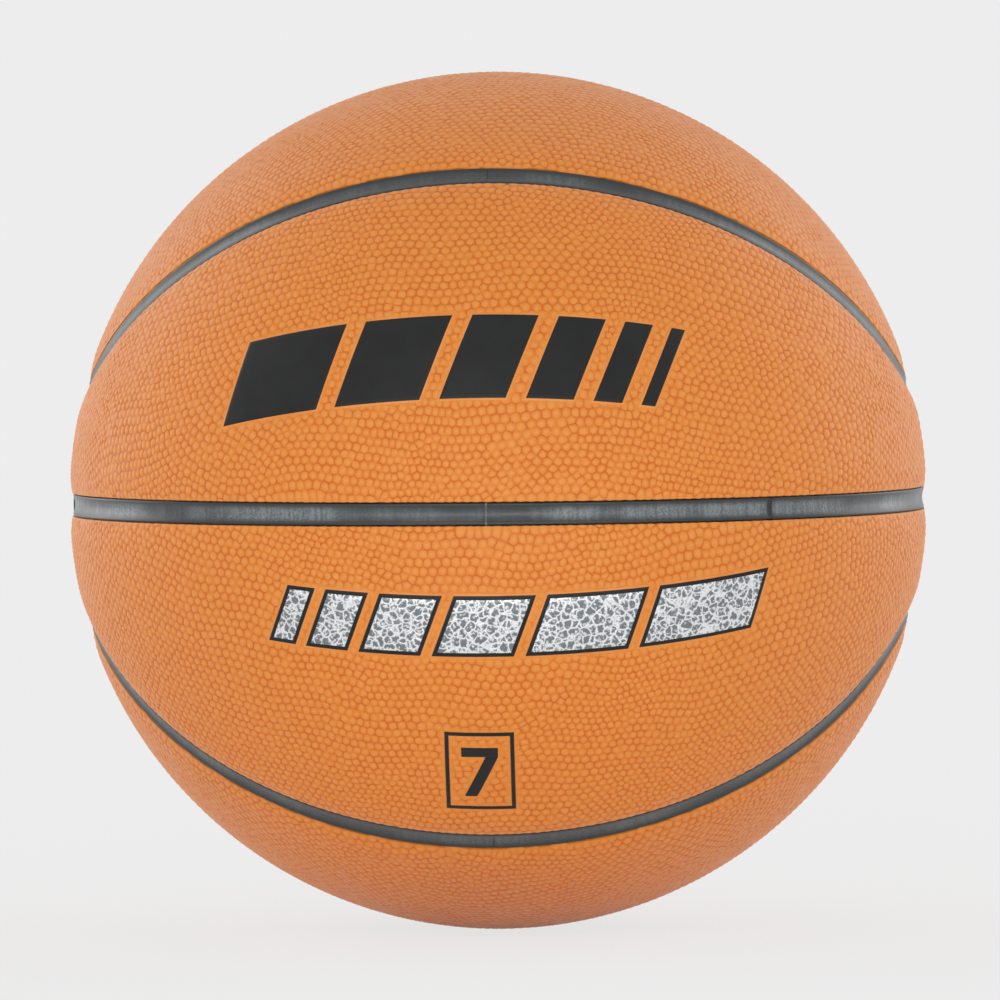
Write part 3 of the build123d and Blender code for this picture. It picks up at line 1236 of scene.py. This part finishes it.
@dataclass
class ChannelStrip:
    """A dished rubber strip along a seam, with rounded shoulders and a mould line.

    Each row of painted light gives the middle of a stretch of the level strip and its reach, in degrees
    round from the front, and its change of tone: paler rows are painted highlights, the darker row is painted
    shade.
    """

    layout: SeamLayout
    node: str
    dish: float = 0.55 * MM
    lip: float = 0.55 * MM
    rounding: float = 0.5 * MM
    ridge: float = 0.10 * MM
    ridge_width: float = 0.3 * MM
    joint_depth: float = 0.12 * MM
    joint_width: float = 1.3 * MM
    joint_turn: float = math.radians(39.6)
    # how strongly strips other than the level one show bloom and painted highlight
    scuff: float = 0.4
    # painted highlights and one painted shaded stretch on the level strip, placed by turn from the front
    painted_light: tuple = ((-24, 10, 0.13), (1, 8, -0.13), (22, 6, 0.13), (36, 5, 0.13), (56, 8, 0.06))
    across: int = 12
    ring_steps: int = 240
    crown_steps: int = 160
    side_steps: int = 16
    line_points: int = 2000
    centre_share: float = 0.85
    merge_distance: float = 0.004 * MM
    cut_distance: float = 0.001 * MM
    cutter_length: float = 20 * MM
    smooth_angle: float = 50.0

    def section(self) -> list:
        """The strip's outline across the seam: sideways place and radius, closed round."""
        half, edge = self.layout.half_strip, self.layout.strip_edge
        if "loop" in self.node:
            half += self.layout.loop_ease
        foot = self.layout.strip_inner
        hollow = half - self.lip
        shoulder = [(half, edge - self.rounding)]
        for angle in (30, 60):
            turn = math.radians(angle)
            shoulder.append((
                half - self.lip * (1 - math.cos(turn)),
                edge - self.rounding * (1 - math.sin(turn)),
            ))
        outline = [(-half, foot)] + [(-offset, radius) for offset, radius in shoulder]
        for number in range(self.across + 1):
            share = 2 * number / self.across - 1
            outline.append((share * hollow, edge - self.dish * (1 - share**2)))
        return outline + shoulder[::-1] + [(half, foot)]

    def along_circle(self, axis: Vector, start: Vector, angle: float, steps: int) -> bpy.types.Object:
        """Spins the section round a great circle.

        Args:
            axis: the circle's axis.
            start: the direction where the strip starts.
            angle: how far it runs, in radians, right-handed about the axis. The spin tool counts back.
            steps: how many stretches it has.

        Returns:
            The strip.
        """
        places = []
        for offset, radius in self.section():
            places.append(start * math.sqrt(radius**2 - offset**2) + axis * offset)
        strip = mesh_piece(f"{self.node}_moulded", np.array(places), [tuple(range(len(places)))])
        with editing(strip):
            bpy.ops.mesh.spin(steps=steps, angle=-angle, center=(0, 0, 0), axis=axis)
            bpy.ops.mesh.select_all(action="SELECT")
            bpy.ops.mesh.remove_doubles(threshold=self.merge_distance)
            # A full turn leaves a face inside the strip at every step, which can spoil the valve's hole
            bpy.ops.mesh.select_mode(type="FACE")
            bpy.ops.mesh.select_all(action="DESELECT")
            bpy.ops.mesh.select_interior_faces()
            bpy.ops.mesh.delete(type="ONLY_FACE")
            bpy.ops.mesh.select_mode(type="VERT")
        return strip

    def loop_line(self, steps: int) -> np.ndarray:
        """Evenly spaced directions round the upper looped seam.

        Args:
            steps: how many directions there are.

        Returns:
            Unit directions, one row each.
        """
        side = math.tan(0.5 * math.pi - self.layout.side_rise)
        front = math.tan(0.5 * math.pi - self.layout.front_rise)

        def line(turn: np.ndarray) -> np.ndarray:
            """Directions on the seam's cone."""
            return unit(np.stack([side * np.cos(turn), front * np.sin(turn), np.ones_like(turn)], axis=1))

        fine = np.linspace(0, 2 * math.pi, 8 * steps + 1)
        walked = np.concatenate([[0], np.cumsum(np.linalg.norm(np.diff(line(fine), axis=0), axis=1))])
        return line(np.interp(np.arange(steps) * walked[-1] / steps, walked, fine))

    def along_loop(self, upward: int, steps: int) -> bpy.types.Object:
        """Carries the section round a looped seam.

        Args:
            upward: 1 for the upper loop, -1 for the lower one.
            steps: how many stretches it has.

        Returns:
            The strip.
        """
        line = self.loop_line(steps)
        onward = unit(np.roll(line, -1, axis=0) - np.roll(line, 1, axis=0))
        sideways = unit(np.cross(onward, line))
        section = self.section()
        rows = []
        for offset, radius in section:
            lean = math.asin(offset / radius)
            rows.append(radius * (line * math.cos(lean) + sideways * math.sin(lean)))
        places = np.stack(rows, axis=1).reshape(-1, 3) * np.array([1.0, 1.0, upward])
        width = len(section)
        faces = []
        for stretch in range(steps):
            here, ahead = stretch * width, (stretch + 1) % steps * width
            for number in range(width):
                after = (number + 1) % width
                faces.append((here + number, here + after, ahead + after, ahead + number))
        return mesh_piece(f"{self.node}_moulded", places, faces)

    def score(self, strip: bpy.types.Object, turn: float, width: float, lift: float) -> None:
        """Cuts the strip beside an upright plane through the ball's middle, and lifts or sinks it there.

        Args:
            strip: the strip.
            turn: the plane's turn from the middle of the front, in radians.
            width: how wide the mark is.
            lift: how far it stands up, less than 0 for a groove.
        """
        normal = np.array([math.cos(turn), math.sin(turn), 0.0])
        near_share = 0.55
        with editing(strip):
            for share in (-1.0, -0.5, 0.5, 1.0):
                bpy.ops.mesh.select_all(action="SELECT")
                place = normal * share * width
                bpy.ops.mesh.bisect(plane_co=place, plane_no=normal, threshold=self.cut_distance)
        places = vertex_places(strip)
        radius = np.linalg.norm(places, axis=1)
        face = radius > self.layout.strip_edge - self.dish - self.rounding
        near = np.abs(places @ normal) < near_share * width
        if turn:
            near &= places @ np.array([math.sin(turn), -math.cos(turn), 0.0]) > 0
        places[face & near] *= 1 + lift / radius[face & near][:, None]
        strip.data.vertices.foreach_set("co", places.ravel())
        attributes = strip.data.attributes
        attribute = attributes.get("mark") or attributes.new("mark", "FLOAT", "POINT")
        marks = np.empty(len(places))
        attribute.data.foreach_get("value", marks)
        marks[near] = math.copysign(1.0, lift)
        attribute.data.foreach_set("value", marks)

    def pierce(self, strip: bpy.types.Object) -> None:
        """Cuts the hole that the valve's tube stands in."""
        bpy.ops.object.select_all(action="DESELECT")
        bpy.ops.mesh.primitive_cylinder_add(
            vertices=64,
            radius=self.layout.valve_tube + self.layout.bond_gap,
            depth=self.cutter_length,
            location=(-self.layout.radius, 0, 0),
            rotation=(0, math.pi / 2, 0),
        )
        cutter = bpy.context.active_object
        select_only(strip)
        hole = strip.modifiers.new("hole", "BOOLEAN")
        hole.operation = "DIFFERENCE"
        hole.object = cutter
        bpy.ops.object.modifier_apply(modifier="hole")
        bpy.data.objects.remove(cutter)

    def mark_places(self, strip: bpy.types.Object, upward: int) -> None:
        """Notes how far across the strip each vertex lies, its share of bloom and painted highlight, its
        painted light, and a point near the strip's middle.

        Args:
            strip: the strip.
            upward: 1 for the upper half of the ball, -1 for the lower one.
        """
        places = vertex_places(strip)
        if "loop" in self.node:
            line = self.loop_line(self.line_points) * np.array([1.0, 1.0, upward])
            parts = np.array_split(places, 8)
            centre = np.concatenate([line[np.argmax(part @ line.T, axis=1)] for part in parts])
            offset = np.abs(self.layout.loop_distance(unit(np.abs(places))))
        else:
            flat = np.array([1, 1, 0]) if "level" in self.node else np.array([1, 0, 1])
            centre = unit(places * flat)
            offset = np.abs(places @ (1 - flat))
        offset = np.clip(offset / self.layout.half_strip, 0, 1)
        note(strip.data, "across", offset)
        # share of bloom and painted highlight: full on the level strip, less on the others
        note(strip.data, "scuff", np.full(len(places), 1.0 if "level" in self.node else self.scuff))
        # painted light on the level strip: paler highlight stretches and a darker shaded one at the front
        turn = np.degrees(np.arctan2(places[:, 0], -places[:, 1]))
        painted_light = np.zeros(len(places))
        if "level" in self.node:
            for middle, reach, change in self.painted_light:
                painted_light += change * np.exp(-(((turn - middle) / reach) ** 2))
        note(strip.data, "painted_light", painted_light)
        middles = self.centre_share * self.layout.radius * centre + (1 - self.centre_share) * places
        attribute = strip.data.attributes.new("centre", "FLOAT_VECTOR", "POINT")
        attribute.data.foreach_set("vector", middles.ravel())

    def build(self, finish: bpy.types.Material) -> bpy.types.Object:
        """Builds and dresses the strip.

        Args:
            finish: the channel rubber's material.

        Returns:
            The piece, riding on the ball in place of its CAD node.
        """
        upward = -1 if self.node.startswith("lower") else 1
        low = self.layout.half_channel_angle
        across = Vector((0, 1, 0))
        if self.node == "level_channel_strip":
            start = Vector((0, -1, 0))
            strip = self.along_circle(Vector((0, 0, 1)), start, 2 * math.pi, self.ring_steps)
        elif "loop" in self.node:
            strip = self.along_loop(upward, self.ring_steps)
        elif "crown" in self.node:
            reach = 0.5 * math.pi - self.layout.side_rise - low
            start = Vector((-math.sin(reach), 0, upward * math.cos(reach)))
            strip = self.along_circle(across, start, upward * 2 * reach, self.crown_steps)
        else:
            outward = -1 if "left" in self.node else 1
            reach = self.layout.side_rise - 2 * low
            start = Vector((outward * math.cos(low), 0, upward * math.sin(low)))
            strip = self.along_circle(across, start, -outward * upward * reach, self.side_steps)
        if self.node == "level_channel_strip":
            self.score(strip, 0.0, self.ridge_width, self.ridge)
            self.score(strip, self.joint_turn, self.joint_width, -self.joint_depth)
        elif not any(word in self.node for word in ("left", "right")):
            self.score(strip, 0.0, self.ridge_width, -0.5 * self.ridge)
        with editing(strip):
            bpy.ops.mesh.normals_make_consistent(inside=False)
        if "left" in self.node or "level" in self.node:
            self.pierce(strip)
        self.mark_places(strip, upward)
        strip.data.materials.clear()
        strip.data.materials.append(finish)
        smooth(strip, self.smooth_angle)
        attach(strip, "ball")
        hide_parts(self.node)
        return strip


@dataclass(frozen=True)
class Softbox:
    """A soft lamp that faces the ball: its place, width and height in metres, and its power in watts."""

    name: str
    place: tuple
    size: tuple
    power: float


@dataclass
class Studio:
    """Pale floor and backdrop, soft lamps, and the camera at the photograph's viewing angle, in degrees."""

    layout: SeamLayout
    paper: Colour = colour(237, 237, 237)
    lit_paper: Colour = colour(250, 250, 250)
    horizon_strength: float = 0.70
    zenith_strength: float = 0.60
    paper_share: float = 0.88
    shadow_reach: tuple = (0.25, 1.3)
    floor_radius: float = 15.0
    distance_in_radii: float = 20.0
    yaw: float = -1.64
    pitch: float = 1.82
    roll: float = -0.53
    ball_radius_px: float = 429.2
    ball_centre_px: tuple = (498.6, 499.8)
    frame_px: float = 1000.0
    sensor: float = 36.0
    sky_step: tuple = (0.1, 0.9)
    softboxes: tuple = (
        Softbox("key_softbox", (-0.35, -2.1, 0.95), (0.8, 0.35), 2.1),
        Softbox("low_softbox", (0.0, -1.3, -0.01), (1.8, 0.2), 5.6),
        Softbox("left_softbox", (-1.45, 0.9, 0.6), (1.2, 1.8), 9.4),
        Softbox("right_softbox", (1.45, 0.9, 0.6), (1.2, 1.8), 9.4),
    )

    def paper_shader(self, board: NodeBoard, lit: Socket, seen: Socket, share: Socket | float) -> Socket:
        """Mixes the pale paper seen directly or in reflections with what lights the ball.

        Args:
            board: the tree.
            lit: the shader that other rays meet.
            seen: the shader of the plain paper.
            share: how much of the plain paper shows.

        Returns:
            The mixed shader.
        """
        path = board.add("ShaderNodeLightPath").outputs
        direct = board.sum("MAXIMUM", path["Is Camera Ray"], path["Is Glossy Ray"])
        direct = board.sum("MAXIMUM", direct, path["Is Transmission Ray"])
        share_seen = board.sum("MULTIPLY", direct, share)
        return board.add("ShaderNodeMixShader", {0: share_seen, 1: lit, 2: seen}).outputs[0]

    def build_world(self) -> None:
        """Even light from all round, and the paper's colour where the camera looks past the floor."""
        world = bpy.data.worlds.new("studio")
        world.use_nodes = True
        board = NodeBoard(world.node_tree)
        lit = world.node_tree.nodes["Background"]
        lit.inputs["Color"].default_value = (1, 1, 1, 1)
        upward = board.add("ShaderNodeSeparateXYZ", {0: board.add("ShaderNodeTexCoord").outputs["Generated"]})
        strengths = (self.horizon_strength, self.zenith_strength)
        strength = board.ease(upward.outputs["Z"], *self.sky_step, *strengths)
        world.node_tree.links.new(strength, lit.inputs["Strength"])
        seen = board.add("ShaderNodeBackground", {"Color": self.paper})
        mixed = self.paper_shader(board, lit.outputs[0], seen.outputs[0], 1.0)
        world.node_tree.links.new(mixed, world.node_tree.nodes["World Output"].inputs["Surface"])
        bpy.context.scene.world = world

    def build_floor(self) -> bpy.types.Object:
        """A wide sheet of pale paper under the ball, which a camera below it looks through.

        Returns:
            The floor.
        """
        bpy.ops.object.select_all(action="DESELECT")
        bpy.ops.mesh.primitive_circle_add(
            vertices=96,
            radius=self.floor_radius,
            fill_type="NGON",
            location=(0, 0, -self.layout.radius),
        )
        floor = bpy.context.active_object
        floor.name = "floor"
        material = bpy.data.materials.new("paper")
        material.use_nodes = True
        board = NodeBoard(material.node_tree)
        tree = material.node_tree
        tree.nodes.remove(tree.nodes["Principled BSDF"])
        lit = board.add("ShaderNodeBsdfDiffuse", {"Color": self.lit_paper})
        seen = board.add("ShaderNodeEmission", {"Color": self.paper})
        away = board.add("ShaderNodeVectorMath", {0: board.object_place()}, operation="LENGTH")
        share = board.ease(away.outputs["Value"], *self.shadow_reach, self.paper_share, 1.0)
        mixed = self.paper_shader(board, lit.outputs[0], seen.outputs[0], share)
        below = board.sum(
            "MULTIPLY",
            board.add("ShaderNodeNewGeometry").outputs["Backfacing"],
            board.add("ShaderNodeLightPath").outputs["Is Camera Ray"],
        )
        clear = board.add("ShaderNodeBsdfTransparent").outputs[0]
        sheet = board.add("ShaderNodeMixShader", {0: below, 1: mixed, 2: clear}).outputs[0]
        tree.links.new(sheet, tree.nodes["Material Output"].inputs["Surface"])
        floor.data.materials.append(material)
        return floor

    def build_lamp(self, box: Softbox) -> None:
        """Hangs one softbox, out of the camera's sight."""
        light = bpy.data.lights.new(box.name, "AREA")
        light.shape = "RECTANGLE"
        light.size, light.size_y = box.size
        light.energy = box.power
        lamp = bpy.data.objects.new(box.name, light)
        bpy.context.scene.collection.objects.link(lamp)
        lamp.visible_camera = False
        lamp.location = box.place
        lamp.rotation_euler = (-Vector(box.place)).to_track_quat("-Z", "Y").to_euler()

    def build_camera(self) -> None:
        """The camera, far off and level, turned as the photograph's ball is seen."""
        turn = Matrix.Rotation(math.radians(self.roll), 3, "Y")
        turn = turn @ Matrix.Rotation(math.radians(self.pitch), 3, "X")
        turn = turn @ Matrix.Rotation(math.radians(self.yaw), 3, "Z")
        seen = turn.transposed()
        data = bpy.data.cameras.new("camera")
        focal_px = self.ball_radius_px * math.sqrt(self.distance_in_radii**2 - 1)
        data.sensor_width = self.sensor
        data.lens = self.sensor * focal_px / self.frame_px
        data.shift_x = 0.5 - self.ball_centre_px[0] / self.frame_px
        data.shift_y = self.ball_centre_px[1] / self.frame_px - 0.5
        camera = bpy.data.objects.new("camera", data)
        bpy.context.scene.collection.objects.link(camera)
        place = seen @ Vector((0, -self.distance_in_radii * self.layout.radius, 0))
        ways = ((1, 0, 0), (0, 0, 1), (0, -1, 0))
        axes = Matrix([seen @ Vector(way) for way in ways]).transposed()
        camera.matrix_world = Matrix.Translation(place) @ axes.to_4x4()
        bpy.context.scene.camera = camera

    def build(self) -> None:
        """Builds the camera, the light and the floor."""
        self.build_camera()
        self.build_world()
        self.build_floor()
        for box in self.softboxes:
            self.build_lamp(box)
        bpy.context.scene.view_settings.view_transform = "Standard"


def bar_row(start: float, widths: tuple, height: float, lean: float, onward: int) -> list:
    """A row of leaning bars that grow narrower.

    Args:
        start: where the row starts, across.
        widths: the bars' widths.
        height: their height.
        lean: how far each top stands to the right of its foot.
        onward: 1 for a row that runs to the right, -1 for one to the left.

    Returns:
        The marks.
    """
    gap = 5.5 * MM
    bars = []
    for width in widths:
        bars.append(PrintMark.slanted(start + onward * 0.5 * width, width, height, lean))
        start += onward * (width + gap)
    return bars


def size_marks() -> list:
    """The size mark: a 7 in a plain frame."""
    wide, high, line = 19 * MM, 27 * MM, 1.1 * MM
    middle = -2.9 * MM
    marks = []
    for end in (1, -1):
        marks.append(PrintMark.slanted(0, wide, line, 0, end * 0.5 * (high - line)))
    for end in (-1, 1):
        marks.append(PrintMark.slanted(end * 0.5 * (wide - line), line, high - 2 * line, 0))
    marks.append(PrintMark.slanted(0, 10 * MM, 3 * MM, 0, 7 * MM))
    marks.append(PrintMark.slanted(0.3 * MM, 3.4 * MM, 14 * MM, 6 * MM, -1.5 * MM))
    return [mark.moved(middle) for mark in marks]


def front_prints() -> dict:
    """The plain prints on the front of the ball.

    Returns:
        Each print by name: black bars above the level seam, outlined foil bars and a size mark below.
    """
    bar_widths = tuple(width * MM for width in (30, 24, 18, 13, 8, 4))
    foil_widths = tuple(width * MM for width in (32, 26, 20, 15, 10, 6))
    bars = bar_row(-73 * MM, bar_widths, 24 * MM, 9 * MM, 1)
    foils = bar_row(78 * MM, foil_widths, 15 * MM, 5.5 * MM, -1)
    outline, rim = 1.1 * MM, 0.6 * MM
    bed_depth, foil_depth = 0.25 * MM, 0.10 * MM
    high_line, low_line, size_line = (math.radians(rise) for rise in (20.6, -14.6, -36.0))
    outlines = [mark.outset(outline) for mark in foils]
    bar_beds = [mark.outset(rim) for mark in bars]
    foil_beds = [mark.outset(rim) for mark in outlines]
    return {
        "bars_bed": CoverPrint("bar_bed_print", high_line, bar_beds, depth=bed_depth),
        "bars": CoverPrint("bar_print", high_line, bars),
        "foil_bed": CoverPrint("foil_bed_print", low_line, foil_beds, depth=bed_depth),
        "outline": CoverPrint("foil_outline_print", low_line, outlines),
        "foil": CoverPrint("foil_print", low_line, foils, depth=foil_depth),
        "size": CoverPrint("size_print", size_line, size_marks()),
    }


def inner_recipes() -> dict:
    """The materials of the solids that stay as they are, by node name."""
    dark, pale = colour(40, 40, 42), colour(54, 54, 56)
    carcass = Mottled("carcass_rubber", dark, pale)
    dark, pale = colour(30, 30, 32), colour(44, 44, 46)
    bladder = Mottled("bladder_rubber", dark, pale, least=0.35, most=0.55)
    dark, pale = colour(42, 45, 48), colour(58, 61, 64)
    housing = Mottled("valve_rubber", dark, pale, scale=1600.0)
    dark, pale = colour(26, 26, 28), colour(40, 40, 42)
    core = Mottled("valve_core_rubber", dark, pale, scale=1800.0)
    return {
        "carcass": carcass,
        "thread_winding": WoundThread(),
        "bladder": bladder,
        "valve_housing": housing,
        "valve_core": core,
    }


def print_recipes() -> tuple:
    """The black film of the prints, and the cover pressed flat and pale round them."""
    dark, pale = colour(11, 12, 13), colour(19, 20, 21)
    ink = Mottled("print_ink", dark, pale, 2200.0, 0.38, 0.55, depth=0.05 * MM, strength=0.5, gloss=0.35)
    dark, pale = colour(222, 132, 48), colour(227, 145, 70)
    bed = Mottled("pressed_bed", dark, pale, 2600.0, 0.4, 0.58, depth=0.06 * MM, strength=0.35)
    return ink, bed


def main() -> None:
    """Loads the frame, dresses the ball piece by piece and sets up the studio."""
    logging.basicConfig(level=logging.INFO)
    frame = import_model()
    nodes = frame["nodes"]
    layout = SeamLayout.measured(nodes)
    Studio(layout).build()

    grain = moulded_grain()
    cover = PebbledCover().material(grain)
    channel = ChannelRubber().material(grain)
    ink, bed = (recipe.material(grain) for recipe in print_recipes())
    for name, recipe in inner_recipes().items():
        material = recipe.material(grain)
        for slot in nodes[name].material_slots:
            slot.material = material
        log.info("%s keeps its solid, in %s", name, material.name)

    prints = front_prints()
    stamped = {
        "upper_front_band_panel": [prints["bars"]],
        "lower_front_band_panel": [prints["outline"], prints["size"]],
    }
    seed = 11
    for kind in PanelKind:
        for level in Level:
            for face in Face:
                seed += 1
                panel = CoverPanel(layout, PebbleGrain(), kind, level, face, seed)
                panel.prints = stamped.get(panel.node, [])
                piece = panel.build(cover)
                log.info("%s has %d faces", piece.name, len(piece.data.polygons))
    for name in sorted(nodes):
        if name.endswith("channel_strip"):
            piece = ChannelStrip(layout, name).build(channel)
            log.info("%s has %d faces", piece.name, len(piece.data.polygons))
    special = {"foil": PrintFoil().material(grain), "bars_bed": bed, "foil_bed": bed}
    for name, stamp in prints.items():
        piece = stamp.build(layout.radius, special.get(name, ink), "cover")
        log.info("%s has %d faces", piece.name, len(piece.data.polygons))


if __name__ == "__main__":
    main()
